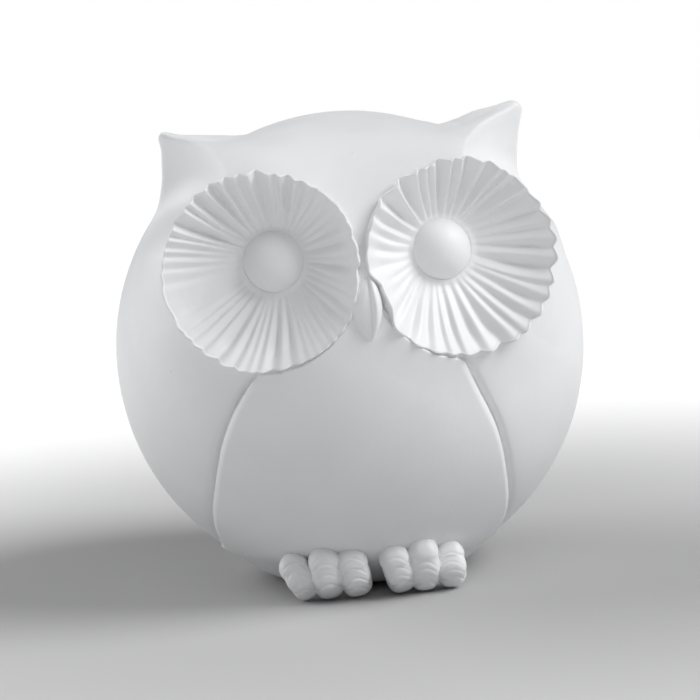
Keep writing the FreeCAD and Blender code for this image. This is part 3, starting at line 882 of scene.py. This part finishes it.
def build_toe(row, creases, strength, seed):
    """Verts and faces of one toe: a bent finger with arched creases and a smooth nail."""
    top, middle, tip, radius = toe_joints(row)
    rng = np.random.default_rng(seed)
    line = smooth_line([top, middle, tip], 30)
    cap = 26
    way = circle(112)
    rings = []

    def ring(centre, along, r):
        side = np.cross(along, [0, 1, 0])
        side /= np.linalg.norm(side)
        front = np.cross(along, side)
        square = 1 - 0.04 * np.cos(4 * way)
        return (centre + np.outer(np.cos(way) * r * square, side)
                + np.outer(np.sin(way) * r * square, front))

    first, last = line[1] - line[0], line[-1] - line[-2]
    first, last = first / np.linalg.norm(first), last / np.linalg.norm(last)
    for a in np.linspace(0.06, 1, cap, endpoint=False) * math.pi / 2:
        rings.append(ring(line[0] - first * radius * math.cos(a), first, radius * math.sin(a)))
    for i, point in enumerate(line):
        along = line[min(i + 1, len(line) - 1)] - line[max(i - 1, 0)]
        s = i / (len(line) - 1)
        slim = 1 - 0.05 * math.sin(math.pi * s * 2) ** 2
        rings.append(ring(point, along / np.linalg.norm(along), radius * slim))
    for a in (1 - np.linspace(0, 0.94, cap)[1:]) * math.pi / 2:
        flat = math.cos(a) ** 0.92
        rings.append(ring(line[-1] + last * radius * flat, last, radius * math.sin(a) ** 0.85))
    rings = np.array(rings)

    p = rings.reshape(-1, 3)
    z_top, z_low = p[:, 2].max(), p[:, 2].min()
    share = (z_top - p[:, 2]) / (z_top - z_low)
    mid_x = np.interp(-p[:, 2], [-top[2], -middle[2], -tip[2]], [top[0], middle[0], tip[0]])
    off = (p[:, 0] - mid_x) / radius
    level = share - CREASE_ARCH * off ** 2
    normal = np.gradient(rings, axis=1)
    normal = np.cross(normal, np.gradient(rings, axis=0)).reshape(-1, 3)
    normal /= np.maximum(length(normal), 1e-9)[:, None]
    centre = np.stack([mid_x, np.interp(-p[:, 2], [-top[2], -middle[2], -tip[2]],
                                        [top[1], middle[1], tip[1]]), p[:, 2]], axis=1)
    normal *= np.sign(((p - centre) * normal).sum(axis=1) + 1e-9)[:, None]
    facing = smoothstep(0.05, 0.6, -normal[:, 1]) * (1 - smoothstep(0.5, 0.95, np.abs(off)))
    sink = np.zeros(len(p))
    for k, at in enumerate(creases):
        at_nail = k == len(creases) - 1
        deep = (NAIL_CREASE_DEPTH if at_nail else rng.uniform(*CREASE_DEPTH)) * strength
        tilt = rng.uniform(-CREASE_TILT, CREASE_TILT)
        gap = level - at - tilt * off
        sink -= deep * np.exp(-(gap / CREASE_WIDTH) ** 2)
        sink += 0.25 * deep * np.exp(-((gap - 0.045) / 0.035) ** 2)
    nail = creases[-1]
    bulge = smoothstep(nail, nail + 0.1, level) * (1 - smoothstep(0.45, 0.8, np.abs(off)))
    sink += NAIL_BULGE * bulge
    p = p + normal * (sink * facing)[:, None]
    return loft(p.reshape(rings.shape))


def build_foot(node):
    """Three toes fused to one piece."""
    parts = []
    for index, (row, creases) in enumerate(zip(TOES[node], CREASES[node])):
        verts, faces = build_toe(row, creases, CREASE_STRENGTH[node], TOE_SEED + index)
        mesh = bpy.data.meshes.new("toe")
        mesh.from_pydata(((verts + CENTRE) * MM).tolist(), [], [tuple(f) for f in faces])
        bm = bmesh.new()
        bm.from_mesh(mesh)
        bmesh.ops.recalc_face_normals(bm, faces=bm.faces)
        bm.to_mesh(mesh)
        bm.free()
        toe = bpy.data.objects.new("toe", mesh)
        bpy.context.scene.collection.objects.link(toe)
        parts.append(toe)
    bpy.ops.object.select_all(action="DESELECT")
    for part in parts:
        part.select_set(True)
    first = parts[0]
    bpy.context.view_layer.objects.active = first
    bpy.ops.object.join()
    fuse = first.modifiers.new("fuse", "REMESH")
    fuse.mode = "VOXEL"
    fuse.voxel_size = TOE_VOXEL * MM
    first.data = bpy.data.meshes.new_from_object(
        first.evaluated_get(bpy.context.evaluated_depsgraph_get()))
    first.modifiers.clear()
    first.name = node + "_toes"
    first.data.name = first.name
    first.data.polygons.foreach_set("use_smooth", [True] * len(first.data.polygons))
    first.data.materials.clear()
    first.data.materials.append(MATERIALS["glaze_foot"])
    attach(first, ROOT)
    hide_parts(node)
    return first


# ================= felt pads =================

def build_pad(node):
    """Round felt pad with a soft edge, slightly ragged."""
    lo, hi = box_mm(node)
    middle = (lo + hi) / 2
    around = 96
    way = circle(around)
    rng = np.random.default_rng(PAD_SEED + PAD_NODES.index(node))
    ragged = blur(rng.normal(0, 0.12, around), 2)
    profile = [(2.0, lo[2]), (4.5, lo[2]), (6.3, lo[2]), (6.75, lo[2] + 0.15), (6.95, lo[2] + 0.5),
               (6.98, lo[2] + 1.0), (6.92, lo[2] + 1.5), (6.7, hi[2] - 0.15), (6.3, hi[2]),
               (4.5, hi[2]), (2.0, hi[2])]
    rings = []
    for radius, z in profile:
        r = radius + ragged * (radius > 6)
        rings.append(np.stack([middle[0] + np.cos(way) * r, middle[1] + np.sin(way) * r,
                               np.full(around, z)], axis=1))
    return make_piece(node + "_felt", *loft(rings), [node], "felt", offset=np.zeros(3))


build_body()
for word in SIDES:
    build_disc(word)
    build_pupil(word)
build_beak()
for node in TOES:
    build_foot(node)
for node in PAD_NODES:
    build_pad(node)


# ================= floor, light and camera =================

FLOOR_HALF = 30.0           # in metres
FLOOR_SHADE_FADE = (0.10, 0.6)    # the painted shade under the owl fades to pale paper between these distances from the middle, in metres
# painted shade under the owl, and the paper's pale colour far off
FLOOR_SHADE_GREY, FLOOR_PALE = 0.50, 0.95
FLOOR_GRAIN = 0.02
FLOOR_PAINTED_GLOW = 0.16           # painted light: far off, the paper glows up to white


def build_floor():
    """Paper with a painted shadow pool, grey under the owl, and a painted glow that makes it white
    far off.
    """
    mesh = bpy.data.meshes.new("floor")
    half = FLOOR_HALF
    mesh.from_pydata([(-half, -half, 0), (half, -half, 0), (half, half, 0), (-half, half, 0)], [],
                     [(0, 1, 2, 3)])
    floor = bpy.data.objects.new("floor", mesh)
    bpy.context.scene.collection.objects.link(floor)
    material, tree, shader = new_material("floor_paper_painted_shade")
    place = add_node(tree, "ShaderNodeTexCoord")
    far = tree.nodes.new("ShaderNodeVectorMath")
    far.operation = "LENGTH"
    fade = add_node(tree, "ShaderNodeMapRange", From_Min=FLOOR_SHADE_FADE[0], From_Max=FLOOR_SHADE_FADE[1])
    fade.interpolation_type = "SMOOTHSTEP"
    grain = add_node(tree, "ShaderNodeTexNoise", Scale=3.0, Detail=2.0)
    mixed = add_math(tree, "MULTIPLY_ADD", FLOOR_GRAIN)
    # painted shade: grey under the owl, pale far off
    shade = add_ramp(tree, (0.0, (FLOOR_SHADE_GREY,) * 3), (1.0, (FLOOR_PALE,) * 3))
    tree.links.new(place.outputs["Object"], far.inputs[0])
    tree.links.new(far.outputs["Value"], fade.inputs["Value"])
    tree.links.new(place.outputs["Object"], grain.inputs["Vector"])
    tree.links.new(grain.outputs["Fac"], mixed.inputs[0])
    tree.links.new(fade.outputs["Result"], mixed.inputs[2])
    tree.links.new(mixed.outputs["Value"], shade.inputs["Fac"])
    tree.links.new(shade.outputs["Color"], shader.inputs["Base Color"])
    # painted light: the far paper glows white
    glow = add_math(tree, "MULTIPLY", FLOOR_PAINTED_GLOW)
    tree.links.new(fade.outputs["Result"], glow.inputs[0])
    tree.links.new(glow.outputs["Value"], shader.inputs["Emission Strength"])
    shader.inputs["Emission Color"].default_value = (1, 1, 1, 1)
    shader.inputs["Roughness"].default_value = 1.0
    shader.inputs["Specular IOR Level"].default_value = 0.0
    mesh.materials.append(material)


AMBIENT = 0.13              # strength of the even light on the owl
BACKDROP = 1.0              # brightness of the white that the camera sees behind everything


def build_world():
    """Even studio light, and a white backdrop behind everything."""
    world = bpy.data.worlds.new("studio")
    bpy.context.scene.world = world
    world.use_nodes = True
    tree = world.node_tree
    tree.nodes.clear()
    out = tree.nodes.new("ShaderNodeOutputWorld")
    mix = tree.nodes.new("ShaderNodeMixShader")
    path = tree.nodes.new("ShaderNodeLightPath")
    soft = add_node(tree, "ShaderNodeBackground", Color=(0.97, 0.985, 1.0, 1), Strength=AMBIENT)
    seen = add_node(tree, "ShaderNodeBackground", Color=(1, 1, 1, 1), Strength=BACKDROP)
    tree.links.new(path.outputs["Is Camera Ray"], mix.inputs["Fac"])
    tree.links.new(soft.outputs["Background"], mix.inputs[1])
    tree.links.new(seen.outputs["Background"], mix.inputs[2])
    tree.links.new(mix.outputs["Shader"], out.inputs["Surface"])


# soft lamps: the direction the light comes from, strength, and angle in degrees
LAMPS = {
    "right_softbox": ((0.72, -0.25, 0.68), 2.25, 34),
    "left_softbox": ((-0.785, 0.36, 0.48), 1.6, 50),
    "top_softbox": ((0.10, -0.60, 0.80), 0.40, 50),
}


def add_sun(name, towards, strength, angle):
    data = bpy.data.lights.new(name, "SUN")
    data.energy = strength
    data.angle = math.radians(angle)
    lamp = bpy.data.objects.new(name, data)
    lamp.rotation_mode = "QUATERNION"
    lamp.rotation_quaternion = Vector(towards).to_track_quat("Z", "Y")
    bpy.context.scene.collection.objects.link(lamp)


CAMERA_AWAY = 8.0           # from the ball's middle, in ball radii
CAMERA_UP = math.radians(6)
CAMERA_YAW = math.radians(4.2)
CAMERA_ROLL = math.radians(4.0)
LENS_MM = 95.5
AIM_BELOW = 2.3             # the ball's middle shows this far above the picture's middle, in mm


def build_camera():
    """A little above the owl, turned and rolled to fit the photo."""
    centre = Vector(CENTRE) * MM
    back = Vector((-math.sin(CAMERA_YAW) * math.cos(CAMERA_UP),
                   -math.cos(CAMERA_YAW) * math.cos(CAMERA_UP), math.sin(CAMERA_UP)))
    level = Vector((0, 0, 1)).cross(back).normalized()
    rise = back.cross(level)
    right = level * math.cos(CAMERA_ROLL) - rise * math.sin(CAMERA_ROLL)
    up = level * math.sin(CAMERA_ROLL) + rise * math.cos(CAMERA_ROLL)
    data = bpy.data.cameras.new("camera")
    data.lens = LENS_MM
    data.clip_start, data.clip_end = 0.01, 200
    camera = bpy.data.objects.new("camera", data)
    spot = centre + back * CAMERA_AWAY * BALL_R * MM - up * AIM_BELOW * MM
    turn = Matrix((right, up, back)).transposed().to_4x4()
    camera.matrix_world = Matrix.Translation(spot) @ turn
    bpy.context.scene.collection.objects.link(camera)
    bpy.context.scene.camera = camera


build_floor()
build_world()
for lamp_name, lamp in LAMPS.items():
    add_sun(lamp_name, *lamp)
build_camera()
bpy.context.scene.view_settings.view_transform = "Standard"
